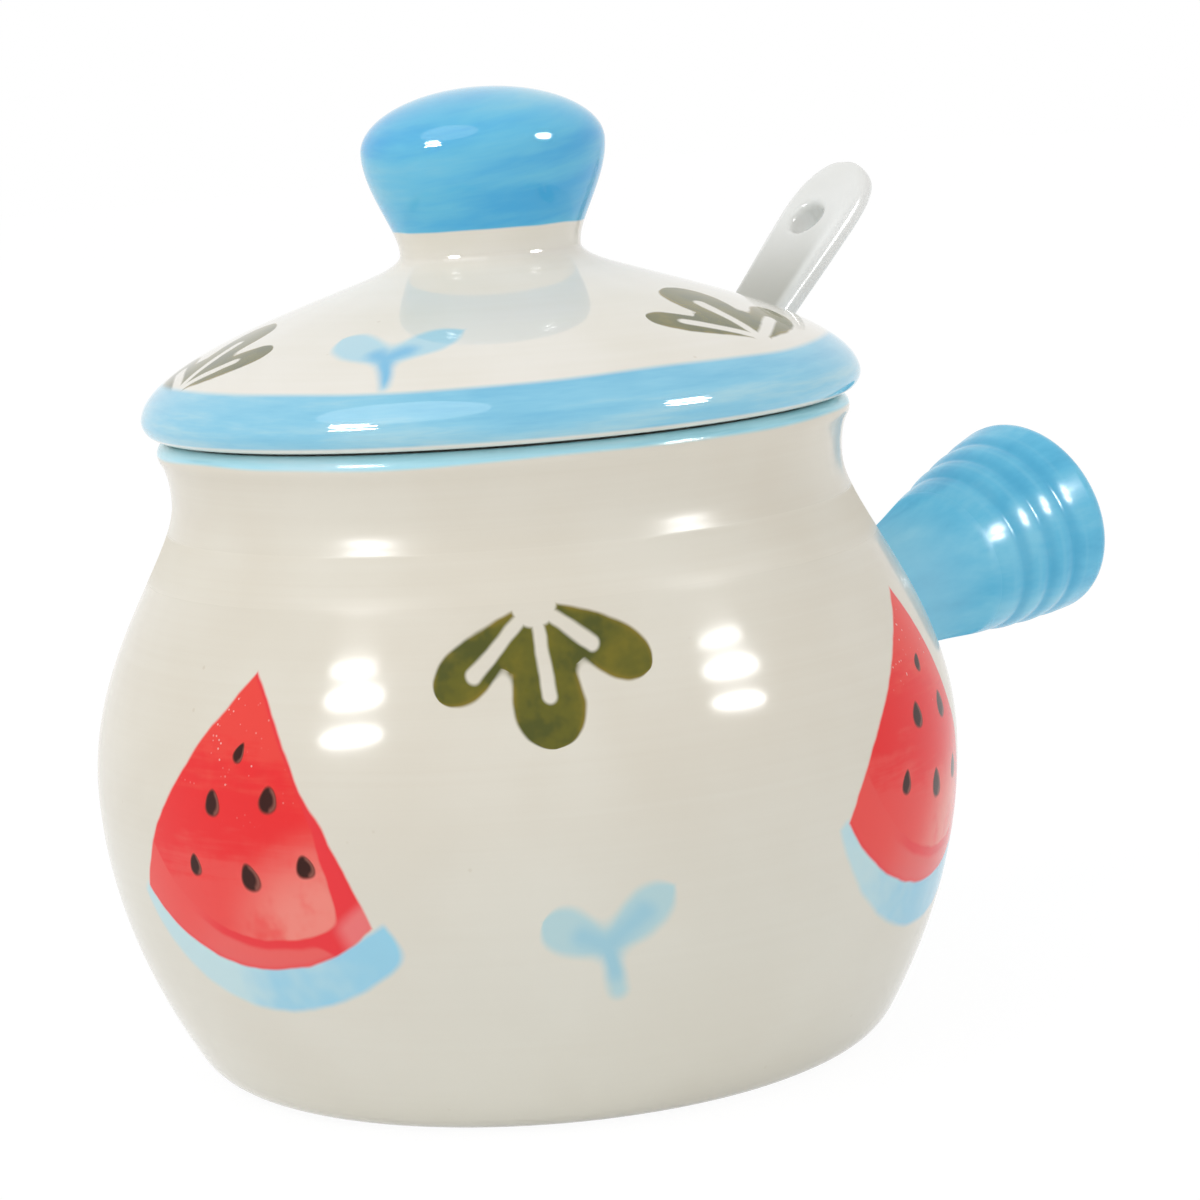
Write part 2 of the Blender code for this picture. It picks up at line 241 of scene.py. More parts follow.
class Glaze(Graph):
    shader = "Principled BSDF"

    def __init__(self, name):
        self.material = bpy.data.materials.new(name)
        self.material.use_nodes = True
        super().__init__(self.material.node_tree)
        self.point = self.node("ShaderNodeVectorMath", {"operation": "SCALE"},
                               {0: self.node("ShaderNodeTexCoord", out="Object"), "Scale": 1.0 / mm})
        self.x, self.y, self.z = self.split(self.point)
        self.radius = (self.x * self.x + self.y * self.y) ** 0.5
        self.angle = self.y.calc("ARCTAN2", self.x)

    def split(self, vector):
        return [self.node("ShaderNodeSeparateXYZ", inputs={0: vector}, out=i) for i in range(3)]

    # 0 at the first value and 1 at the second, which may be the smaller one
    def edge(self, value, none, full):
        return self.node("ShaderNodeMapRange", {"interpolation_type": "SMOOTHSTEP"},
                         {"Value": value, "From Min": none, "From Max": full})

    def between(self, value, low, high):
        return self.node("ShaderNodeMapRange", {"clamp": True},
                         {"Value": value, "To Min": low, "To Max": high})

    def noise(self, stretch, detail=2.0, rough=0.5, shift=0.0, out=0, slant=0.0):
        start = self.point
        if slant:
            leaning = self.z + self.x * slant
            start = self.node("ShaderNodeCombineXYZ", inputs={0: self.x, 1: self.y, 2: leaning})
        moved = self.node("ShaderNodeVectorMath", {"operation": "MULTIPLY_ADD"},
                          {0: start, 1: stretch, 2: (shift, shift, shift)})
        return self.node("ShaderNodeTexNoise", {"noise_dimensions": "3D"},
                         {"Vector": moved, "Scale": 1.0, "Detail": detail, "Roughness": rough}, out)

    def cells(self, scale):
        return self.node("ShaderNodeTexVoronoi", {"feature": "F1"},
                         {"Vector": self.point, "Scale": scale, "Randomness": 1.0})

    # the height with a slow wave in it, for the edges of painted bands
    def waved(self, wave, swing):
        return self.z + (self.noise(*wave) - 0.5) * swing

    # above 0 on faces that look away from the axis, below 0 on inside walls
    def outward(self):
        facing = self.node("ShaderNodeTexCoord", out="Normal")
        flat = self.node("ShaderNodeCombineXYZ", inputs={0: self.x, 1: self.y})
        return self.node("ShaderNodeVectorMath", {"operation": "DOT_PRODUCT"}, {0: facing, 1: flat}, "Value")

    def mix(self, share, under, over):
        return self.node("ShaderNodeMix", {"data_type": "RGBA"}, {0: share, 6: under, 7: over}, 2)

    # turn from the nearest of the places, followed by that place's own values
    def nearest(self, places):
        best = None
        for degrees, *own in places:
            turn = (self.angle - math.radians(degrees)).calc("WRAP", math.pi, -math.pi)
            if best is None:
                best = [turn] + own
            else:
                closer = abs(turn).calc("LESS_THAN", abs(best[0]))
                best = [old + closer * (new - old) for old, new in zip(best, [turn] + own)]
        return best

    def bump(self, height, strength, distance):
        inputs = {"Strength": strength, "Distance": distance * mm, "Height": height}
        return self.node("ShaderNodeBump", {}, inputs)


# a colour given as the screen shows it, in linear light
def paint(red, green, blue):
    linear = [((c / 255 + 0.055) / 1.055) ** 2.4 if c > 10 else c / 3294.6 for c in (red, green, blue)]
    return (*linear, 1.0)


# cream ground with faint turning lines and a few specks;
# here and below a noise is its stretch, detail, roughness and shift
ground = dict(
    # the lid and knob take a paler copy of the jar's cream: painted light on the upward-facing dome
    jar=(paint(229, 224, 211), paint(223, 216, 201)), lid=(paint(238, 234, 225), paint(231, 226, 213)),
    low=paint(222, 222, 212), speck=paint(196, 182, 156), biscuit=paint(214, 200, 176),
    lines=((0.015, 0.015, 1.5), 2.0, 0.6), lineShare=0.2,
    clouds=((0.05, 0.05, 0.05), 2.0, 0.5, 7.0), cloudShare=0.8, tone=(0.30, 0.72),
    speckScale=0.16, speckSize=(0.05, 0.02), speckShare=0.3)


def creamGround(glaze, tones):
    lines, clouds = glaze.noise(*ground["lines"]), glaze.noise(*ground["clouds"])
    tone = lines * ground["lineShare"] + clouds * ground["cloudShare"]
    colour = glaze.mix(glaze.edge(tone, *ground["tone"]), *tones)
    specks = glaze.edge(glaze.cells(ground["speckScale"]), *ground["speckSize"])
    return glaze.mix(specks * ground["speckShare"], colour, ground["speck"])


# small hand wobble that the painted figures share
hand = dict(shake=((0.20, 0.20, 0.20), 2.0, 0.5, 3.0), reach=0.4)


def wobble(glaze):
    shaken = glaze.split(glaze.noise(*hand["shake"], out=1))
    return [(part - 0.5) * (2.0 * hand["reach"]) for part in shaken[:2]]


gloss = dict(
    roughness=0.055, dull=0.65, ior=1.5, ripple=0.10, strength=0.03,
    dimple=((0.25, 0.25, 0.25), 1.0, 0.5, 11.0), dimpleShare=0.4,
    turning=((0.03, 0.03, 0.40), 2.0, 0.5, 5.0), turningShare=0.6,
    patches=((0.12, 0.12, 0.12), 2.0, 0.5, 19.0), patchRange=(0.8, 1.2))


def glazeSurface(glaze, reflect, roughness=gloss["roughness"], dull=None, ripple=gloss["ripple"]):
    dimple, turning = glaze.noise(*gloss["dimple"]), glaze.noise(*gloss["turning"])
    height = dimple * gloss["dimpleShare"] + turning * gloss["turningShare"]
    glaze.feed(glaze.shader, "Normal", glaze.bump(height, gloss["strength"], ripple))
    low, high = [roughness * share for share in gloss["patchRange"]]
    matt = glaze.between(glaze.noise(*gloss["patches"]), low, high)
    glaze.feed(glaze.shader, "Roughness", matt + dull * gloss["dull"] if dull else matt)
    glaze.fixed(glaze.shader, IOR=gloss["ior"], Specular_IOR_Level=reflect)


# painted figures are worked out in mm across (p) and along (q) from their own start;
# a depth is the distance in from the figure's edge
def turned(p, q, degrees):
    c, s = math.cos(math.radians(degrees)), math.sin(math.radians(degrees))
    return p * c - q * s, p * s + q * c


def leaned(p, q, lean):
    return p - q * lean, q + p * lean


def reachOf(p, q):
    return (p * p + q * q) ** 0.5


def largest(values, blend=0.0):
    best = values[0]
    for value in values[1:]:
        best = best.calc("SMOOTH_MAX", value, blend) if blend else best.calc("MAXIMUM", value)
    return best


def lobe(p, q, turn, length, width, swell, sharp=0.5, blunt=4.0):
    s, w = turned(q, p, -turn)
    run = (s / length).calc("MINIMUM", 1.0).calc("MAXIMUM", 0.0)
    past = s - run * length
    return run ** swell * (1.0 - run ** blunt) ** sharp * width - reachOf(w, past)


def stroke(p, q, turn, run, half, thin):
    s, w = turned(q, p, -turn)
    past = (s - run).calc("MAXIMUM", 0.0) + (-s).calc("MAXIMUM", 0.0)
    return half - s * thin - reachOf(w, past)


# lobes are turn, length, width, swell and, for some, sharpness; veins, left bare, are turn and run
leaf = dict(
    jar=dict(lobes=((-53.5, 14.0, 4.2, 0.75), (0.0, 14.5, 5.7, 0.62), (53.0, 14.0, 4.1, 0.70),
                    (-29.0, 7.4, 2.4, 0.8), (27.0, 7.4, 2.4, 0.8)),
             veins=((-49.5, 9.7), (1.5, 9.2), (48.0, 7.3)), bare=2.3),
    lid=dict(lobes=((-60.0, 12.4, 4.2, 0.75), (0.0, 14.8, 6.0, 0.62), (58.0, 12.2, 4.4, 0.70),
                    (-33.0, 7.4, 2.4, 0.8), (31.0, 7.4, 2.4, 0.8)),
             veins=((-58.0, 8.2), (-1.0, 9.4), (56.0, 7.4)), bare=1.1),
    lobeBlend=2.4, vein=0.42, veinThin=-0.02, soft=(-0.05, 0.45), cover=0.97,
    wash=((0.20, 0.20, 0.20), 3.0, 0.6, 23.0), dark=paint(74, 78, 0), olive=paint(96, 94, 0),
    oliveWash=(0.36, 0.52), sunny=paint(116, 106, 4), sunnyWash=(0.50, 0.68), sunnyShare=0.8,
    rim=paint(138, 116, 20), rimDepth=(1.0, 0.1), rimWash=(0.38, 0.54), rimShare=0.75)


def leafPaint(glaze, colour, p, q, form):
    inside = largest([lobe(p, q, *shape) for shape in form["lobes"]], leaf["lobeBlend"])
    veins = largest([stroke(p, q, turn, run, leaf["vein"], leaf["veinThin"]) for turn, run in form["veins"]])
    depth = inside.calc("MINIMUM", -veins).calc("MINIMUM", reachOf(p, q) - form["bare"])
    wash = glaze.noise(*leaf["wash"])
    green = glaze.mix(glaze.edge(wash, *leaf["oliveWash"]), leaf["dark"], leaf["olive"])
    green = glaze.mix(glaze.edge(wash, *leaf["sunnyWash"]) * leaf["sunnyShare"], green, leaf["sunny"])
    edging = glaze.edge(inside, *leaf["rimDepth"]) * glaze.edge(wash, *leaf["rimWash"])
    green = glaze.mix(edging * leaf["rimShare"], green, leaf["rim"])
    return glaze.mix(glaze.edge(depth, *leaf["soft"]) * leaf["cover"], colour, green)


# two leaves on a stalk, with a deeper stroke from the fork into each
sprout = dict(
    jar=dict(leaves=((-63.0, 7.4, 3.5, 0.36), (51.0, 9.5, 3.5, 0.42, 0.8)), stalk=(169.0, 5.2, 1.1, 0.0),
             strokes=((-60.0, 3.0), (51.0, 5.2), (169.0, 3.0)),
             tones=(paint(180, 214, 220), paint(156, 205, 222))),
    lid=dict(leaves=((-57.0, 8.8, 3.7, 0.42), (48.0, 9.0, 4.0, 0.45, 0.9)), stalk=(164.0, 5.2, 1.25, 0.11),
             strokes=((-57.0, 1.6), (48.0, 2.2), (164.0, 4.0)),
             tones=(paint(172, 216, 231), paint(98, 186, 228))),
    leafBlend=3.0, deep=0.75, wash=((0.25, 0.25, 0.25), 3.0, 0.6, 31.0), washShare=0.8, tone=(-1.0, 1.1),
    soft=(-0.5, 0.9), cover=0.92)


def sproutPaint(glaze, colour, p, q, form):
    leaves = [lobe(p, q, *shape) for shape in form["leaves"]]
    depth = largest(leaves + [stroke(p, q, *form["stalk"])], sprout["leafBlend"])
    heart = largest([stroke(p, q, turn, run, sprout["deep"], 0.0) for turn, run in form["strokes"]])
    tone = heart + glaze.noise(*sprout["wash"]) * sprout["washShare"]
    blue = glaze.mix(glaze.edge(tone, *sprout["tone"]), *form["tones"])
    return glaze.mix(glaze.edge(depth, *sprout["soft"]) * sprout["cover"], colour, blue)


# a slice is worked out by its reach from the point and its swing to the right, in radians;
# seeds are across, along, lean, half width and half length
melon = dict(
    bottom=32.5, bottomBend=5.0, bottomMiddle=-0.05, leftSide=0.69, leftClosing=0.11, sideLength=31.0,
    rightSide=0.715, rightClosing=0.0062, kink=(13.8, 19.0), kinkStep=0.045, soft=(0.0, 0.45), cover=0.98,
    foldStart=15.0, foldThin=0.5, foldSpread=0.22, crustWidth=3.9, crustSwing=3.0, crust=paint(238, 97, 93),
    stripSwing=(0.30, 0.44), stripGrow=2.6, stripThin=0.6, stripSoft=(-0.7, 0.0), stripStart=(-0.5, -0.1),
    strip=paint(237, 50, 58), rosySwing=(-0.08, -0.36), rimLine=(0.9, 0.2), rimShare=0.5,
    cornerSwing=(0.40, 0.48), cornerDepth=(3.6, 2.0), corner=paint(238, 118, 118),
    faceRound=2.5, faceSoft=(-0.1, 0.35), wash=((0.16, 0.16, 0.16), 3.0, 0.62, 43.0),
    streaks=((0.10, 0.10, 0.9), 2.0, 0.6, 47.0), unrest=12.0, tip=paint(240, 66, 58),
    redLevel=(7.0, 13.0), red=paint(238, 38, 42), rosyLevel=(17.0, 24.0), rosyShare=0.85,
    rosy=paint(240, 78, 74), blushLean=0.5, blushLevel=(18.0, 29.0), blushSide=(-4.0, 7.0),
    blushWash=(0.20, 0.55), pink=paint(243, 138, 126), bubbleScale=1.3, bubbleSize=(0.20, 0.10),
    bubblePatch=((0.3, 0.3, 0.3), 1.0, 0.5, 53.0), bubbleWash=(0.48, 0.62), bubbleReach=(17.0, 11.0),
    bubbleShare=0.8, bubble=paint(244, 190, 184),
    rindEdge=37.35, rindMiddle=0.05, rindBend=7.5, rindLeftBend=4.5, rindRight=0.62, rindLeft=0.60,
    rindRound=3.0, rindSoft=(-0.1, 0.8), rindFoot=(30.3, 31.2), rindCover=0.93,
    rindWash=((0.08, 0.08, 0.08), 3.0, 0.62, 41.0), rindSwing=0.5, rindTone=(0.40, 0.80),
    rind=paint(194, 225, 231), rindDeep=paint(148, 209, 234),
    seeds=((-0.3, 8.55, -26.0, 0.75, 1.25), (-3.5, 14.25, 0.0, 1.30, 1.60), (4.2, 12.9, 2.0, 1.40, 1.70),
           (-6.6, 21.5, 2.0, 0.95, 1.45), (1.7, 21.6, 14.0, 1.40, 1.85), (9.1, 19.6, 10.0, 1.30, 1.50)),
    seedTaper=0.28, seedSoft=(0.0, 0.4), seedEdge=paint(112, 50, 42), edgeCover=0.9,
    seedCore=(0.25, 0.55), seed=paint(46, 22, 17), seedCover=0.92,
    lightOuter=(0.2, 0.5), lightInner=(0.85, 0.5), lightSide=(0.0, 0.5), seedLight=paint(150, 92, 80),
    lightShare=0.75)


def rindPaint(glaze, colour, reach, swing, wet):
    arc = swing - melon["rindMiddle"]
    bend = arc.calc("LESS_THAN", 0.0) * melon["rindLeftBend"] + melon["rindBend"]
    outer = melon["rindEdge"] - bend * arc * arc - reach
    right = (melon["rindRight"] - swing) * reach
    left = (melon["rindLeft"] + swing) * reach
    depth = outer.calc("SMOOTH_MIN", right, melon["rindRound"]).calc("MINIMUM", left)
    band = glaze.edge(depth, *melon["rindSoft"]) * glaze.edge(reach, *melon["rindFoot"])
    tone = glaze.noise(*melon["rindWash"]) + arc * melon["rindSwing"] + wet
    blue = glaze.mix(glaze.edge(tone, *melon["rindTone"]), melon["rind"], melon["rindDeep"])
    return glaze.mix(band * melon["rindCover"], colour, blue)


def faceRed(glaze, p, q, reach):
    wash, streaks = glaze.noise(*melon["wash"]), glaze.noise(*melon["streaks"])
    level = q + (wash + streaks - 1.0) * melon["unrest"]
    red = glaze.mix(glaze.edge(level, *melon["redLevel"]), melon["tip"], melon["red"])
    red = glaze.mix(glaze.edge(level, *melon["rosyLevel"]) * melon["rosyShare"], red, melon["rosy"])
    blush = glaze.edge(q + p * melon["blushLean"], *melon["blushLevel"]) * glaze.edge(p, *melon["blushSide"])
    red = glaze.mix(blush * glaze.edge(wash, *melon["blushWash"]), red, melon["pink"])
    patch = glaze.edge(glaze.noise(*melon["bubblePatch"]), *melon["bubbleWash"])
    bubbles = glaze.edge(glaze.cells(melon["bubbleScale"]), *melon["bubbleSize"])
    bubbles = bubbles * patch * glaze.edge(reach, *melon["bubbleReach"])
    return glaze.mix(bubbles * melon["bubbleShare"], red, melon["bubble"])


def fleshPaint(glaze, colour, p, q, reach, swing):
    bow = swing - melon["bottomMiddle"]
    rim = melon["bottom"] - bow * bow * melon["bottomBend"] - reach
    left = (melon["leftSide"] - (reach / melon["sideLength"]) ** 3.0 * melon["leftClosing"] + swing) * reach
    kink = glaze.edge(reach, *melon["kink"]) * melon["kinkStep"]
    right = (melon["rightSide"] - reach * melon["rightClosing"] + kink - swing) * reach
    past = (reach - melon["foldStart"]).calc("MAXIMUM", 0.0)
    foldWidth = past * melon["foldSpread"] + melon["foldThin"]
    crustWidth = melon["crustWidth"] - swing * melon["crustSwing"]
    face = (right - foldWidth).calc("SMOOTH_MIN", rim - crustWidth, melon["faceRound"])
    stripWidth = glaze.edge(swing, *melon["stripSwing"]) * melon["stripGrow"] + melon["stripThin"]
    strip = glaze.edge(face + stripWidth, *melon["stripSoft"]) * glaze.edge(swing, *melon["stripStart"])
    side = glaze.mix(strip, melon["crust"], melon["strip"])
    side = glaze.mix(glaze.edge(swing, *melon["rosySwing"]), side, melon["rosy"])
    side = glaze.mix(glaze.edge(rim, *melon["rimLine"]) * melon["rimShare"], side, melon["strip"])
    corner = glaze.edge(swing, *melon["cornerSwing"]) * glaze.edge(rim, *melon["cornerDepth"])
    side = glaze.mix(corner, side, melon["corner"])
    red = glaze.mix(glaze.edge(face, *melon["faceSoft"]), side, faceRed(glaze, p, q, reach))
    depth = left.calc("MINIMUM", right).calc("MINIMUM", rim)
    return glaze.mix(glaze.edge(depth, *melon["soft"]) * melon["cover"], colour, red)


def seedPaint(glaze, colour, p, q):
    grains, lights = [], []
    for across, along, lean, half, long in melon["seeds"]:
        a, b = turned(p - across, q - along, lean)
        grain = 1.0 - (a / (b * melon["seedTaper"] + half)) ** 2.0 - (b / long) ** 2.0
        light = glaze.edge(grain, *melon["lightInner"]) * glaze.edge(grain, *melon["lightOuter"])
        grains.append(grain)
        lights.append(light * glaze.edge(a, *melon["lightSide"]))
    grain = largest(grains)
    colour = glaze.mix(glaze.edge(grain, *melon["seedSoft"]) * melon["edgeCover"], colour, melon["seedEdge"])
    colour = glaze.mix(glaze.edge(grain, *melon["seedCore"]) * melon["seedCover"], colour, melon["seed"])
    return glaze.mix(largest(lights) * melon["lightShare"], colour, melon["seedLight"])


def slicePaint(glaze, colour, p, q, wet):
    reach = reachOf(p, q)
    swing = p.calc("ARCTAN2", q)
    colour = rindPaint(glaze, colour, reach, swing, wet)
    colour = fleshPaint(glaze, colour, p, q, reach, swing)
    return seedPaint(glaze, colour, p, q)


# light blue brushed on in rounds, from thick to thin; strokes are stretch, shift and slant
blues = dict(
    knob=(paint(72, 174, 227), paint(102, 194, 230), paint(130, 203, 228)),
    # the handle's pale neck tone is a painted reflection of the jar's cream body
    handle=(paint(76, 174, 216), paint(100, 194, 230), paint(130, 208, 236)), neck=paint(160, 214, 234),
    band=(paint(104, 190, 226), paint(128, 204, 233), paint(164, 217, 234)),
    rim=(paint(146, 214, 232), paint(174, 234, 250), paint(194, 238, 252)),
    detail=4.0, rough=0.62, strokeShare=0.6, broad=0.3, broadShift=5.0, broadShare=0.4,
    middle=(0.36, 0.54), thin=(0.50, 0.68))


def brushedBlue(glaze, tones, stretch, shift, slant=0.0):
    strokes = glaze.noise(stretch, blues["detail"], blues["rough"], shift, slant=slant)
    wide = tuple(value * blues["broad"] for value in stretch)
    tone = strokes * blues["strokeShare"]
    tone = tone + glaze.noise(wide, shift=shift + blues["broadShift"]) * blues["broadShare"]
    colour = glaze.mix(glaze.edge(tone, *blues["middle"]), tones[0], tones[1])
    return glaze.mix(glaze.edge(tone, *blues["thin"]), colour, tones[2])


# jar turned from the foot over the rim and down to the floor inside;
# slices are angle, top, lean, size and wetness of the rind
jar = dict(
    foot=39.3, footEdge=3.0, belly=50.0, bellyHeight=34.0, neck=38.7, neckHeight=66.5, bellyPull=0.47,
    neckPull=0.19, rim=39.9, rimHeight=73.7, lip=1.5, flare=32.0, wall=4.2, floor=5.0, fillet=6.0, around=160,
    slices=((-168.2, 51.9, -0.066, 1.0, 0.0), (-62.4, 53.0, -0.21, 1.05, 0.22),
            (63.0, 51.6, -0.070, 1.0, 0.1)),
    leaves=((-128.1,), (124.0,)), leafTop=57.8, leafTurn=4.0,
    sprouts=((-122.4,), (131.0,)), sproutFork=22.0,
    outside=(1.0, 4.0), lipPaint=(71.6, 72.2), lowHeight=(48.0, 18.0), lowShare=0.5, bareFoot=(0.35, 0.12),
    bandWave=((0.03, 0.03, 0.03), 1.0, 0.5, 2.0), bandSwing=2.0, bandEdge=(72.1, 72.6), bandCover=0.92,
    bandStrokes=((0.05, 0.05, 0.9), 3.0), reflect=0.15, roughness=0.12,
    dullStart=(56.5, 60.5), dullEnd=(63.2, 62.7), dullShare=0.84, satinEnd=(68.5, 65.5), satinShare=0.16)


def jarOutside(inset=0.0):
    foot, belly, neck = jar["foot"], jar["belly"], jar["neck"]
    bellyHeight, neckHeight = jar["bellyHeight"], jar["neckHeight"]
    lipX, lipZ = jar["rim"] - jar["lip"], jar["rimHeight"] - jar["lip"]
    flare = roundCorner((lipX, lipZ), jar["lip"], -jar["flare"], -jar["flare"], 1)[0]
    flareRise = (flare[0] - neck) / math.tan(math.radians(jar["flare"]))
    shoulder = neckHeight - bellyHeight
    lower = curve([(foot, 0.0), (belly, bellyHeight / 2), (belly, bellyHeight)], 24)
    meeting = 2  # where the rounded foot edge runs into the side
    edge = [(foot - jar["footEdge"], 0.0), (foot, 0.0), lower[meeting]]
    upper = [(belly, bellyHeight), (belly, bellyHeight + jar["bellyPull"] * shoulder),
             (neck, neckHeight - jar["neckPull"] * shoulder), (neck, neckHeight)]
    throat = [(neck, neckHeight), (neck, flare[1] - flareRise), flare]
    line = chain(curve(edge, 6), lower[meeting + 1:], curve(upper, 28), curve(throat, 6))
    return [(radius - inset, height) for radius, height in line]


def jarInside():
    bellyHeight, neckHeight, floor = jar["bellyHeight"], jar["neckHeight"], jar["floor"]
    mouth, belly, base = [jar[key] - jar["wall"] for key in ("neck", "belly", "foot")]
    lipZ = jar["rimHeight"] - jar["lip"]
    shoulder = neckHeight - bellyHeight
    throat = [(jar["rim"] - 2 * jar["lip"], lipZ), (mouth, (lipZ + neckHeight) / 2), (mouth, neckHeight)]
    upper = [throat[-1], (mouth, neckHeight - jar["neckPull"] * shoulder),
             (belly, bellyHeight + jar["bellyPull"] * shoulder), (belly, bellyHeight)]
    lower = [upper[-1], (belly, (bellyHeight + floor) / 2), (base + jar["fillet"] / 2, floor + jar["fillet"])]
    corner = [lower[-1], (base, floor), (base - jar["fillet"], floor)]
    return chain(curve(throat, 6), curve(upper, 20), curve(lower, 12), curve(corner, 8))


def makeJar():
    lip = roundCorner((jar["rim"] - jar["lip"], jar["rimHeight"] - jar["lip"]), jar["lip"],
                      -jar["flare"], 180.0, 14)
    outline = chain([(0.0, 0.0)], jarOutside(), lip, jarInside(), [(0.0, jar["floor"])])
    shape = turnShape("jarVisual", outline, jar["around"])
    smooth(shape)
    return shape


def jarFigures(glaze, colour):
    shakeP, shakeQ = wobble(glaze)
    turn, top, lean, size, wet = glaze.nearest(jar["slices"])
    p, q = (turn * glaze.radius + shakeP) / size, (top - glaze.z + shakeQ) / size
    colour = slicePaint(glaze, colour, *leaned(p, q, lean), wet)
    turn, = glaze.nearest(jar["leaves"])
    p, q = turn * glaze.radius + shakeP, jar["leafTop"] - glaze.z + shakeQ
    colour = leafPaint(glaze, colour, *turned(p, q, jar["leafTurn"]), leaf["jar"])
    turn, = glaze.nearest(jar["sprouts"])
    p, q = turn * glaze.radius + shakeP, glaze.z - jar["sproutFork"] + shakeQ
    return sproutPaint(glaze, colour, p, q, sprout["jar"])


def jarGlaze():
    glaze = Glaze("jarGlaze")
    colour = creamGround(glaze, ground["jar"])
    colour = glaze.mix(glaze.edge(glaze.z, *jar["lowHeight"]) * jar["lowShare"], colour, ground["low"])
    painted = jarFigures(glaze, colour)
    band = glaze.edge(glaze.waved(jar["bandWave"], jar["bandSwing"]), *jar["bandEdge"])
    blue = brushedBlue(glaze, blues["rim"], *jar["bandStrokes"])
    painted = glaze.mix(band * jar["bandCover"], painted, blue)
    outside = glaze.edge(glaze.outward(), *jar["outside"])  # the figures stay off the inside
    outside = outside.calc("MAXIMUM", glaze.edge(glaze.z, *jar["lipPaint"]))
    colour = glaze.mix(outside, colour, painted)
    colour = glaze.mix(glaze.edge(glaze.z, *jar["bareFoot"]), colour, ground["biscuit"])
    glaze.feed(glaze.shader, "Base Color", colour)
    dull = glaze.edge(glaze.z, *jar["dullEnd"]) * jar["dullShare"]
    dull = dull + glaze.edge(glaze.z, *jar["satinEnd"]) * jar["satinShare"]
    dull = glaze.edge(glaze.z, *jar["dullStart"]) * dull  # the shoulder shines less
    glazeSurface(glaze, jar["reflect"], jar["roughness"], dull)
    return glaze.material


# side handle, a flared tube with soft rings, its root let into the jar's wall
handle = dict(
    height=40.05, rise=12.9, length=42.45, waist=10.2, waistRadius=7.7, rootFlare=5.2, rootPull=0.2,
    end=13.15, flareLow=0.3, flareHigh=0.5, flareSwell=0.725, wall=4.4, bore=4.08, boreMiddle=0.5,
    overlap=8.0, firstGroove=27.3, lastGroove=35.4, pitch=4.05, depth=0.30, fade=3.3, sunk=1.5, around=96,
    strokes=((0.05, 0.16, 0.16), 13.0), ringShift=0.4, ringsStart=(25.0, 26.2), ringsEnd=(38.4, 37.2),
    # glaze pooled darker in the grooves and thinner over the ridges, also serving as painted shade in the
    # grooves and painted light on the ridges
    grooveShadeAndPool=(0.36, 0.06), grooveShadeShare=0.5, ridgeLightAndThinGlaze=(0.34, 0.50), ridgeLightShare=0.3,
    # the pale neck is a painted reflection of the jar's cream body
    neckReflection=(24.0, 12.0), neckReflectionShare=0.45, dullNeck=(24.0, 22.0), reflect=0.3, roughness=0.20)


# the rings are rounded ridges with narrow grooves between them
def grooveCut(distance):
    past = distance - handle["firstGroove"]
    if past < 0.0:
        share = max(1.0 + past / handle["fade"], 0.0)
    elif distance < handle["lastGroove"] + handle["pitch"] / 2:
        share = 2.0 * (past / handle["pitch"] % 1.0) - 1.0
    else:
        share = 0.0
    return handle["depth"] * share ** 2


def makeHandle():
    lip = handle["wall"] / 2
    flareEnd = handle["length"] - lip
    run, swell = flareEnd - handle["waist"], handle["end"] - handle["waistRadius"]
    waist = (handle["waistRadius"], handle["waist"])
    root = [(waist[0] + handle["rootFlare"], -handle["overlap"]),
            (waist[0], handle["rootPull"] * waist[1]), waist]
    flare = [waist, (waist[0], waist[1] + handle["flareLow"] * run),
             (waist[0] + handle["flareSwell"] * swell, waist[1] + handle["flareHigh"] * run),
             (handle["end"], flareEnd)]
    outside = [(radius - grooveCut(distance), distance) for radius, distance in curve(flare, 132)]
    rounded = roundCorner((handle["end"] - lip, flareEnd), lip, 0.0, 180.0, 14)
    bore = [(handle["end"] - handle["wall"], flareEnd),
            (handle["bore"], handle["boreMiddle"] * handle["length"]), (handle["bore"], -handle["overlap"])]
    outline = chain(curve(root, 16), outside, rounded, curve(bore, 16))
    shape = turnShape("handleVisual", outline + outline[:1], handle["around"])
    place(shape, (jar["belly"], 0.0, handle["height"]), (0.0, 90.0 - handle["rise"], 0.0))
    core = jarOutside(handle["sunk"])
    core = turnShape("jarCore", chain([(0.0, 0.0)], core, [(0.0, core[-1][1])]), jar["around"])
    cutAway(shape, core)
    smooth(shape)
    return shape


def handleGlaze():
    glaze = Glaze("handleGlaze")
    colour = brushedBlue(glaze, blues["handle"], *handle["strokes"])
    rise = math.radians(handle["rise"])
    distance = (glaze.x - jar["belly"]) * math.cos(rise) + (glaze.z - handle["height"]) * math.sin(rise)
    past = distance - (handle["firstGroove"] + handle["ringShift"])
    groove = abs((past / handle["pitch"]).calc("WRAP", 0.5, -0.5))
    rings = glaze.edge(distance, *handle["ringsStart"]) * glaze.edge(distance, *handle["ringsEnd"])
    # glaze pooled in the grooves with painted shade there; thin glaze and painted light over the ridges
    thick = glaze.edge(groove, *handle["grooveShadeAndPool"]) * rings * handle["grooveShadeShare"]
    thin = glaze.edge(groove, *handle["ridgeLightAndThinGlaze"]) * rings * handle["ridgeLightShare"]
    colour = glaze.mix(thick, colour, blues["handle"][0])
    colour = glaze.mix(thin, colour, blues["handle"][2])
    # painted reflection of the jar's cream body, paler on the handle's neck towards the root
    neck = glaze.edge(distance, *handle["neckReflection"]) * handle["neckReflectionShare"]
    glaze.feed(glaze.shader, "Base Color", glaze.mix(neck, colour, blues["neck"]))
    dull = glaze.edge(distance, *handle["dullNeck"])
    glazeSurface(glaze, handle["reflect"], handle["roughness"], dull)
    return glaze.material


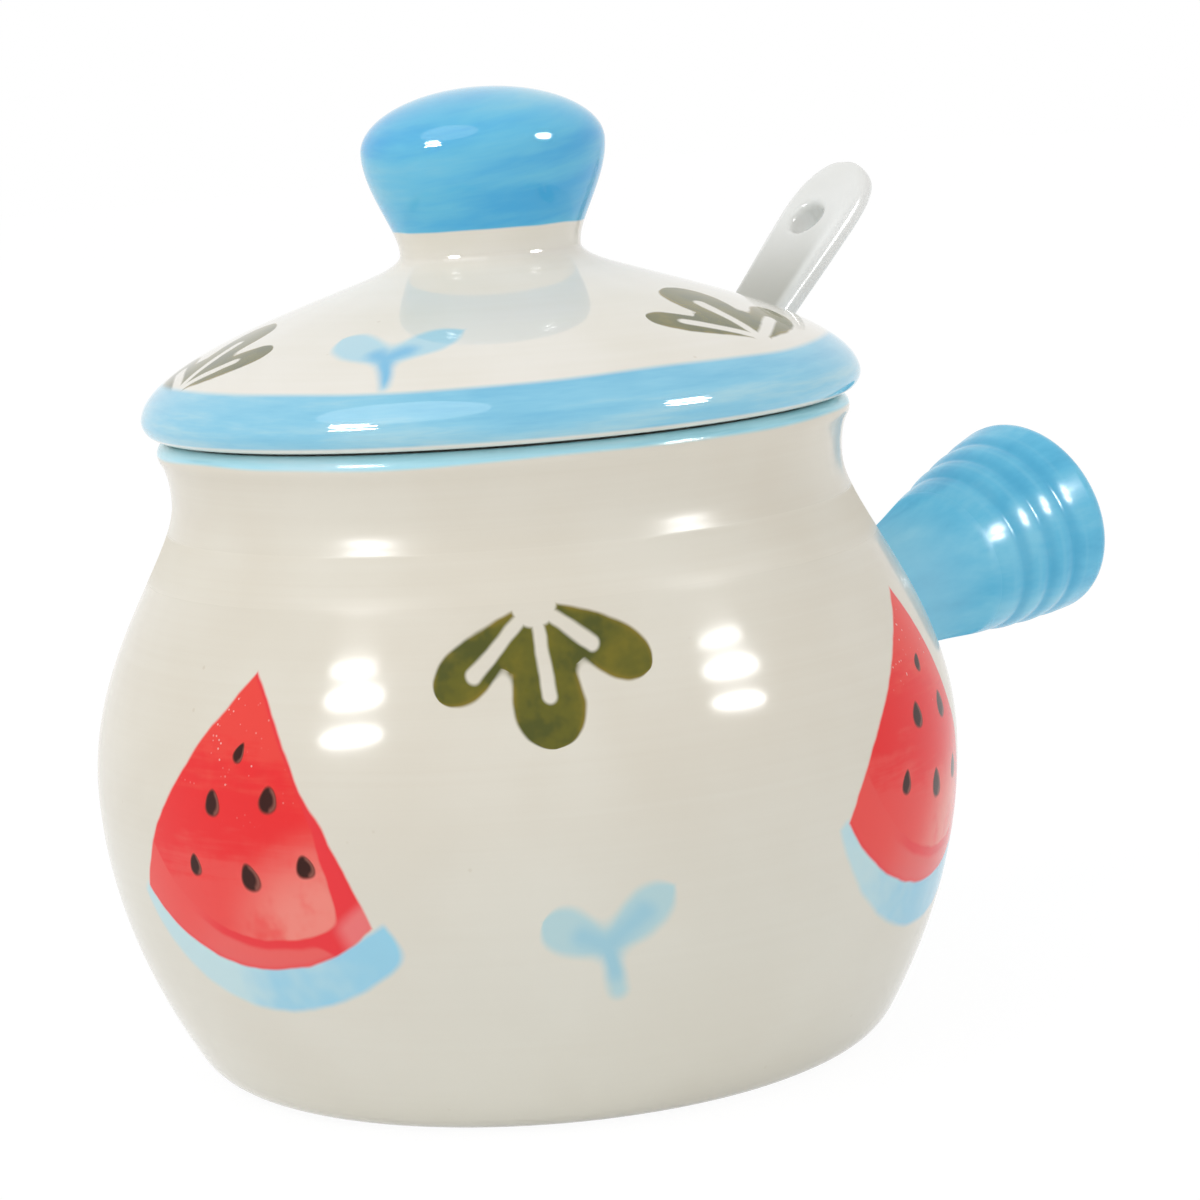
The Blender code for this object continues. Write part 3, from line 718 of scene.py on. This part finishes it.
# lid with dome, rounded edge, flange and hollow, with the spoon's notch;
# leaves are angle, start radius, lean and breadth of the right half
lid = dict(
    overhang=1.5, edge=2.2, rise=18.6, wall=4.0, roof=6.4, flange=5.5, flangeWall=3.2, chamfer=0.6, play=0.8,
    seat=74.0, neck=10.4, neckFillet=4.0, neckPull=0.28, neckDrop=0.62,
    domeInner=(0.42, 0.70), domeOuter=0.44, around=160, notchPlay=1.4, notchRound=0.6,
    cutter=(90.0, 30.0, 40.0),
    leaves=((-77.2, 35.8, 0.17, 1.15), (42.0, 36.0, 0.0, 1.1), (161.3, 38.6, -0.25, 1.0)),
    sprouts=((-151.3,), (-20.0,), (100.0,)), sproutRadius=33.2, slope=1.08,
    bandWave=((0.03, 0.03, 0.03), 1.0, 0.5, 2.0), bandSwing=1.6, bandTop=(80.55, 79.95),
    bandFoot=(74.4, 74.8), bandCover=0.94, bandStrokes=((0.05, 0.05, 0.5), 29.0), rimPaint=(36.5, 37.0),
    hollowSlope=0.45, domePaint=(94.5, 95.5), reflect=0.6, roughness=0.035, ripple=0.03)


def makeLid():
    radius = jar["rim"] + lid["overhang"]
    flange = jar["neck"] - jar["wall"] - lid["play"]
    hollow = flange - lid["flangeWall"]
    hollowTop = lid["rise"] - lid["roof"]
    neck = [(lid["neck"], lid["rise"]), (lid["neck"], lid["rise"] - lid["neckPull"] * lid["neckFillet"]),
            (lid["neck"] + lid["neckFillet"], lid["rise"] - lid["neckDrop"] * lid["neckFillet"])]
    across, up = lid["domeInner"]
    dome = [neck[-1], (lid["neck"] + across * (radius - lid["neck"]), up * lid["rise"]),
            (radius - lid["edge"] / 3, lid["domeOuter"] * lid["rise"]), (radius, lid["edge"])]
    edge = roundCorner((radius - lid["edge"], lid["edge"]), lid["edge"], 0.0, -90.0, 10)
    bead = lid["flangeWall"] / 2
    flangeTop = [(flange + lid["chamfer"], 0.0), (flange, -lid["chamfer"])]
    flangeEnd = roundCorner((flange - bead, bead - lid["flange"]), bead, 0.0, -180.0, 12)
    inner = [(hollow, lid["edge"]), (hollow - lid["wall"], hollowTop), (0.0, hollowTop)]
    outline = chain([(0.0, lid["rise"])], curve(neck, 10), curve(dome, 34), edge, flangeTop, flangeEnd,
                    curve(inner, 16))
    shape = turnShape("lidVisual", lifted(outline, lid["seat"]), lid["around"])
    cutAway(shape, notchCutter())
    smooth(shape)
    return shape


# a long bar with rounded upper edges, laid along the spoon
def notchCutter():
    half = spoon["stemEnd"] + spoon["thick"] / 2 + lid["notchPlay"]
    top = spoon["thick"] + 2 * spoon["crown"] + lid["notchPlay"]
    ahead, behind, below = lid["cutter"]
    startClean()
    bpy.ops.mesh.primitive_cube_add(
        size=1.0, location=((ahead - behind) / 2 * mm, 0.0, (top - below) / 2 * mm),
        scale=((ahead + behind) * mm, 2 * half * mm, (top + below) * mm))
    cutter = bpy.context.object
    cutter.name = "notchCutter"
    bpy.ops.object.transform_apply()
    bpy.ops.object.mode_set(mode="EDIT")
    bpy.ops.mesh.select_mode(type="EDGE")
    bpy.ops.mesh.select_all(action="DESELECT")
    mesh = bmesh.from_edit_mesh(cutter.data)
    for line in mesh.edges:
        line.select_set(all(vert.co.z > 0.0 for vert in line.verts)
                        and abs(line.verts[0].co.y - line.verts[1].co.y) < near)
    bmesh.update_edit_mesh(cutter.data)
    bpy.ops.mesh.bevel(offset=lid["notchRound"] * half * mm, segments=10, affect="EDGES")
    bpy.ops.object.mode_set(mode="OBJECT")
    place(cutter, (spoon["rimPoint"][0], 0.0, spoon["rimPoint"][1]), (0.0, spoon["lean"] - 90.0, 0.0))
    return cutter


def lidFigures(glaze, colour):
    shakeP, shakeQ = wobble(glaze)
    turn, start, lean, broad = glaze.nearest(lid["leaves"])
    p, q = turn * glaze.radius + shakeP, (start - glaze.radius) * lid["slope"] + shakeQ
    p, q = leaned(p, q, lean)
    p = p / (p.calc("GREATER_THAN", 0.0) * (broad - 1.0) + 1.0)
    colour = leafPaint(glaze, colour, p, q, leaf["lid"])
    turn, = glaze.nearest(lid["sprouts"])
    p, q = turn * glaze.radius + shakeP, (lid["sproutRadius"] - glaze.radius) * lid["slope"] + shakeQ
    return sproutPaint(glaze, colour, p, q, sprout["lid"])


def lidGlaze():
    glaze = Glaze("lidGlaze")
    # paler cream than the jar's: painted light on the upward-facing lid
    colour = creamGround(glaze, ground["lid"])
    painted = lidFigures(glaze, colour)
    band = glaze.edge(glaze.waved(lid["bandWave"], lid["bandSwing"]), *lid["bandTop"])
    band = band * glaze.edge(glaze.z, *lid["bandFoot"])
    blue = brushedBlue(glaze, blues["band"], *lid["bandStrokes"])
    painted = glaze.mix(band * lid["bandCover"], painted, blue)
    upper = glaze.edge(glaze.radius, *lid["rimPaint"])  # the paint stays off the hollow
    dome = glaze.edge(glaze.z + glaze.radius * lid["hollowSlope"], *lid["domePaint"])
    upper = upper.calc("MAXIMUM", dome)
    glaze.feed(glaze.shader, "Base Color", glaze.mix(upper, colour, painted))
    glazeSurface(glaze, lid["reflect"], lid["roughness"], ripple=lid["ripple"])
    return glaze.material


# knob, a flared button whose foot meets the lid's neck
knob = dict(
    foot=92.6, lift=0.3, neck=10.4, radius=14.0, height=18.2, shoulder=11.4, flarePull=(0.22, 0.62),
    crownPull=(0.55, 0.55), around=128, paintWave=((0.08, 0.08, 0.08), 2.0, 0.5, 2.0), paintSwing=0.9,
    paintEdge=(95.15, 95.45), strokes=((0.035, 0.035, 0.22), 17.0, -0.18), reflect=0.45)


def makeKnob():
    low, high = knob["flarePull"]
    flare = [(knob["neck"], 0.0), (knob["neck"], low * knob["shoulder"]),
             (knob["radius"], high * knob["shoulder"]), (knob["radius"], knob["shoulder"])]
    side, top = knob["crownPull"]
    crownRise = knob["height"] - knob["shoulder"]
    crown = [flare[-1], (knob["radius"], knob["shoulder"] + side * crownRise),
             (top * knob["radius"], knob["height"]), (0.0, knob["height"])]
    foot = [(0.0, -knob["lift"]), (knob["neck"], -knob["lift"])]
    outline = chain(foot, curve(flare, 24), curve(crown, 26))
    shape = turnShape("knobVisual", lifted(outline, knob["foot"] + knob["lift"]), knob["around"])
    smooth(shape)
    return shape


def knobGlaze():
    glaze = Glaze("knobGlaze")
    # the lid's paler cream: painted light
    colour = creamGround(glaze, ground["lid"])
    blue = brushedBlue(glaze, blues["knob"], *knob["strokes"])
    painted = glaze.edge(glaze.waved(knob["paintWave"], knob["paintSwing"]), *knob["paintEdge"])
    glaze.feed(glaze.shader, "Base Color", glaze.mix(painted, colour, blue))
    glazeSurface(glaze, knob["reflect"])
    return glaze.material


# spoon, a sheet with a dished bowl, thickened most along the stem's middle and rounded all over
spoon = dict(
    length=128.4, lean=47.2, bowlMiddle=15.64, bowlEnd=42.5, bowl=10.0, bowlDepth=6.0, stem=2.6, stemEnd=4.1,
    tip=8.8, blunt=2.5, flare=0.8, flareStart=100.0, thick=2.6, crown=0.65, edge=1.3, thinEdge=0.5,
    sheetLift=0.001, roundPower=3, hole=2.3, holeInset=9.9, holeRound=1.1, holeAround=48,
    rimPoint=(37.177, 73.521), tipPoint=(-32.674, 8.838), columns=8, rows=(7, 9, 14, 11), crease=60.0,
    clouds=((0.06, 0.06, 0.06), 3.0, 0.55, 37.0), cloudTone=(0.35, 0.65), white=paint(240, 240, 237),
    # the grey tone towards the bowl is painted shade and painted reflection of the lid on the white spoon
    dim=paint(232, 232, 228), paintedShadeFrom=(121.0, 103.0), paintedShade=paint(184, 183, 174), sideFrom=(3.8, 5.0),
    sideShare=0.85, reflect=0.4, roughness=0.18)


# half width, dish, sink, roundness and fullness of the sheet at one distance from the bowl's tip
def spoonSection(distance):
    middle, bowlEnd, stemEnd = spoon["bowlMiddle"], spoon["bowlEnd"], spoon["length"] - spoon["tip"]
    if distance < middle:
        swell = math.sqrt(max(1.0 - (1.0 - distance / middle) ** 2, 0.0))
        return ((spoon["bowl"] + spoon["edge"]) * swell, spoon["bowlDepth"] * swell,
                spoon["bowlDepth"] * swell ** 2, 0.0, 1.0)
    if distance < bowlEnd:
        fade = 0.5 + 0.5 * math.cos(math.pi * (distance - middle) / (bowlEnd - middle))
        return (spoon["stem"] + (spoon["bowl"] - spoon["stem"]) * fade + spoon["edge"],
                spoon["bowlDepth"] * fade, spoon["bowlDepth"] * fade, 1.0 - fade, 1.0)
    if distance < stemEnd:
        half = spoon["stem"] + (spoon["stemEnd"] - spoon["stem"]) * (distance - bowlEnd) / (stemEnd - bowlEnd)
        share = max((distance - spoon["flareStart"]) / (stemEnd - spoon["flareStart"]), 0.0)
        return half + spoon["edge"] + spoon["flare"] * share ** 2 * (3.0 - 2.0 * share), 0.0, 0.0, 1.0, 1.0
    taper = max(1.0 - ((distance - stemEnd) / spoon["tip"]) ** spoon["blunt"], 0.0) ** (1.0 / spoon["blunt"])
    return (spoon["stemEnd"] + spoon["edge"] + spoon["flare"]) * taper, 0.0, 0.0, 1.0, math.sqrt(taper)


# rows lie closer together towards both ends
def spoonPlaces():
    middle, bowlEnd, stemEnd = spoon["bowlMiddle"], spoon["bowlEnd"], spoon["length"] - spoon["tip"]
    bowlRows, throatRows, stemRows, tipRows = spoon["rows"]
    quarter = math.pi / 2
    places = [middle * (1.0 - math.cos(quarter * (row + 0.5) / (bowlRows + 0.5))) for row in range(bowlRows)]
    places += [middle + (bowlEnd - middle) * row / throatRows for row in range(throatRows)]
    places += [bowlEnd + (stemEnd - bowlEnd) * row / stemRows for row in range(stemRows)]
    places += [stemEnd + spoon["tip"] * math.sin(quarter * row / tipRows) for row in range(tipRows)]
    return places


def makeSpoon():
    places, columns = spoonPlaces(), spoon["columns"]
    spans = len(places) - 1
    full = spoon["thick"] + 2 * spoon["crown"]
    thinEdge = spoon["thinEdge"]
    bowlShare = (spoon["thick"] / full - thinEdge) / (1.0 - thinEdge)
    gridSize, pickNear = 2.0, 1e-4
    startClean()
    bpy.ops.mesh.primitive_grid_add(x_subdivisions=spans, y_subdivisions=columns, size=gridSize)
    shape = bpy.context.object
    shape.name = shape.data.name = "spoonVisual"
    shape.vertex_groups.new(name="swollen")
    brush = bpy.context.scene.tool_settings
    bpy.ops.object.mode_set(mode="EDIT")
    for row, distance in enumerate(places):  # each row is set down beside the grid
        half, dish, sink, rounded, fullness = spoonSection(distance)
        at = gridSize * (row / spans - 0.5)
        for column in range(columns // 2 + 1):
            across = column * 2.0 / columns
            rise = full / 2 + spoon["sheetLift"] - sink + dish * across ** 2
            pickVerts(lambda co: abs(co.x - at) < pickNear and abs(abs(co.y) - across) < pickNear)
            share = bowlShare + rounded * (math.sqrt(1.0 - across ** spoon["roundPower"]) - bowlShare)
            brush.vertex_group_weight = share * fullness
            bpy.ops.object.vertex_group_assign()
            bpy.ops.transform.resize(value=(1.0, half * mm, 1.0), center_override=(0, 0, 0))
            bpy.ops.transform.translate(value=(distance * mm + gridSize - at, 0.0, rise * mm))
    bpy.ops.mesh.select_all(action="SELECT")
    bpy.ops.transform.translate(value=(-gridSize, 0.0, 0.0))
    bpy.ops.mesh.normals_make_consistent(inside=False)
    bpy.ops.object.mode_set(mode="OBJECT")
    applyModifier(shape, "SOLIDIFY", thickness=full * mm, offset=0.0, use_even_offset=True,
                  vertex_group="swollen", thickness_vertex_group=thinEdge)
    applyModifier(shape, "SUBSURF", levels=2, render_levels=2)
    cutAway(shape, holeCutter())
    place(shape, (spoon["tipPoint"][0], 0.0, spoon["tipPoint"][1]), (0.0, spoon["lean"] - 90.0, 0.0))
    bpy.ops.object.mode_set(mode="EDIT")
    cleanMesh()
    smooth(shape, spoon["crease"])
    return shape


# the hole widens to a rounded edge at both faces
def holeCutter():
    hole, corner, past = spoon["hole"], spoon["holeRound"], 2.0
    thick = spoon["thick"] + 2 * spoon["crown"]
    rounded = [(hole + corner, 0.0), (hole, 0.0), (hole, corner)]
    outline = chain([(0.0, -past), (hole + corner + past, -past)], curve(rounded, 5))
    outline += [(radius, thick - height) for radius, height in reversed(outline)]
    cutter = turnShape("holeCutter", outline, spoon["holeAround"])
    place(cutter, (spoon["length"] - spoon["holeInset"], 0.0, 0.0), (0.0, 0.0, 0.0))
    return cutter


def spoonGlaze():
    glaze = Glaze("spoonGlaze")
    lean = math.radians(spoon["lean"])
    distance = ((glaze.x - spoon["tipPoint"][0]) * math.sin(lean)
                + (glaze.z - spoon["tipPoint"][1]) * math.cos(lean))
    clouds = glaze.edge(glaze.noise(*spoon["clouds"]), *spoon["cloudTone"])
    white = glaze.mix(clouds, spoon["white"], spoon["dim"])
    side = glaze.edge(abs(glaze.y), *spoon["sideFrom"])  # painted shade and painted reflection of the lid, greying the stem towards the bowl; it stays on the faces, off the side walls
    paintedShade = glaze.edge(distance, *spoon["paintedShadeFrom"]) * (1.0 - side * spoon["sideShare"])
    glaze.feed(glaze.shader, "Base Color", glaze.mix(paintedShade, white, spoon["paintedShade"]))
    glazeSurface(glaze, spoon["reflect"], spoon["roughness"])
    return glaze.material


# the pieces go on the frame
for make, finishWith, body, node, slotName in (
        (makeJar, jarGlaze, "jar", "jar_body", "jar_glaze"),
        (makeHandle, handleGlaze, "jar", "side_handle", "handle_glaze"),
        (makeLid, lidGlaze, "lid", "lid_shell", "lid_glaze"),
        (makeKnob, knobGlaze, "lid", "lid_knob", "knob_glaze"),
        (makeSpoon, spoonGlaze, "spoon", "spoon", "spoon_glaze")):
    piece = make()
    piece.data.materials.clear()
    piece.data.materials.append(finishWith())
    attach(piece, body)
    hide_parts(node)
    print("made", piece.name, len(piece.data.polygons), "faces")


# floor, lamps, world and camera; glint lamps are side, elevation, tilt and size in metres
stage = dict(
    floorSize=6.0, floor=paint(255, 255, 255), floorRough=0.9, lift=0.93, floorGlow=1.02, worldLight=0.76,
    aim=(0.0, 0.0, 45.0), keySide=-48.0, keyHeight=58.0, keyDistance=1.7, keySize=(1.3, 1.3), keyGlow=1.7,
    glints=((-48.6, 22.7, 16.0, (0.32, 0.085)), (-50.7, 31.6, 16.0, (0.30, 0.08)),
            (-53.7, 36.4, 16.0, (0.25, 0.035)), (60.4, 21.8, -12.0, (0.30, 0.065)),
            (63.0, 29.1, -12.0, (0.31, 0.07)), (64.6, 34.2, -12.0, (0.26, 0.027))),
    glintDistance=1.15, glintGlow=130.0)
view = dict(azimuth=-40.35, distance=400.0, height=111.6, pitch=8.6, pan=1.381, roll=-4.1,
            focal=3476.0, frame=1200.0, sensor=36.0, clip=(0.01, 20.0))


# the floor and the world look white, and keep their own level as light on the object
def seenShare(graph):
    names = ("Is Camera Ray", "Is Glossy Ray", "Is Transmission Ray")
    return largest([graph.node("ShaderNodeLightPath", out=name) for name in names])


def makeFloor():
    startClean()
    bpy.ops.mesh.primitive_plane_add(size=stage["floorSize"], location=(0, 0, 0))
    floor = bpy.context.object
    floor.name = "floor"
    material = bpy.data.materials.new("floorPaper")
    material.use_nodes = True
    paper = Graph(material.node_tree)
    shader = "Principled BSDF"
    paper.fixed(shader, Base_Color=stage["floor"], Roughness=stage["floorRough"], Specular_IOR_Level=0.0)
    glow = paper.node("ShaderNodeEmission", inputs={"Strength": stage["floorGlow"]})
    lit = Wire(paper, paper.nodes[shader].outputs[0])
    blend = paper.node("ShaderNodeMixShader", inputs={0: seenShare(paper) * stage["lift"], 1: lit, 2: glow})
    paper.feed("Material Output", "Surface", blend)
    floor.data.materials.append(material)


def sideways(azimuth):
    a = math.radians(azimuth)
    return Vector((math.sin(a), -math.cos(a), 0.0))


# the energy is worked out so that glow is the brightness of the lamp's face
def addLamp(name, side, elevation, tilt, distance, size, glow):
    e = math.radians(elevation)
    out = sideways(view["azimuth"] + side) * math.cos(e) + Vector((0, 0, math.sin(e)))
    startClean()
    bpy.ops.object.light_add(type="AREA", location=Vector(stage["aim"]) * mm + out * distance)
    lamp = bpy.context.object
    lamp.name = name
    lamp.data.shape = "ELLIPSE"
    lamp.data.size, lamp.data.size_y = size
    lamp.data.energy = glow * math.pi * (math.pi / 4 * size[0] * size[1])
    level = Quaternion((0, 0, 1), math.radians(tilt))
    lamp.rotation_euler = (out.to_track_quat("Z", "Y") @ level).to_euler()
    lamp.visible_camera = False
    return lamp


def makeLamps():
    addLamp("keyLamp", stage["keySide"], stage["keyHeight"], 0.0, stage["keyDistance"], stage["keySize"],
            stage["keyGlow"])
    for side, elevation, tilt, size in stage["glints"]:
        lamp = addLamp("glintLamp", side, elevation, tilt, stage["glintDistance"], size, stage["glintGlow"])
        lamp.visible_diffuse = False  # these only make the small highlights


def makeWorld():
    world = bpy.data.worlds.new("studio")
    bpy.context.scene.world = world
    world.use_nodes = True
    studio = Graph(world.node_tree)
    studio.fixed("Background", Color=(1.0, 1.0, 1.0, 1.0))
    level = studio.node("ShaderNodeMapRange",
                        inputs={"Value": seenShare(studio), "To Min": stage["worldLight"]})
    studio.feed("Background", "Strength", level)


def makeCamera():
    startClean()
    back = sideways(view["azimuth"])
    bpy.ops.object.camera_add(location=(back * view["distance"] + Vector((0, 0, view["height"]))) * mm)
    camera = bpy.context.object
    camera.data.sensor_width = view["sensor"]
    camera.data.lens = view["focal"] / view["frame"] * view["sensor"]
    camera.data.clip_start, camera.data.clip_end = view["clip"]
    pitch = math.radians(view["pitch"])
    ahead = -sideways(view["azimuth"] - view["pan"]) * math.cos(pitch) - Vector((0, 0, math.sin(pitch)))
    rolled = Quaternion((0, 0, 1), math.radians(view["roll"]))
    camera.rotation_euler = (ahead.to_track_quat("-Z", "Y") @ rolled).to_euler()
    bpy.context.scene.camera = camera


makeFloor()
makeLamps()
makeWorld()
makeCamera()
bpy.context.scene.view_settings.view_transform = "Standard"
print("stage ready")
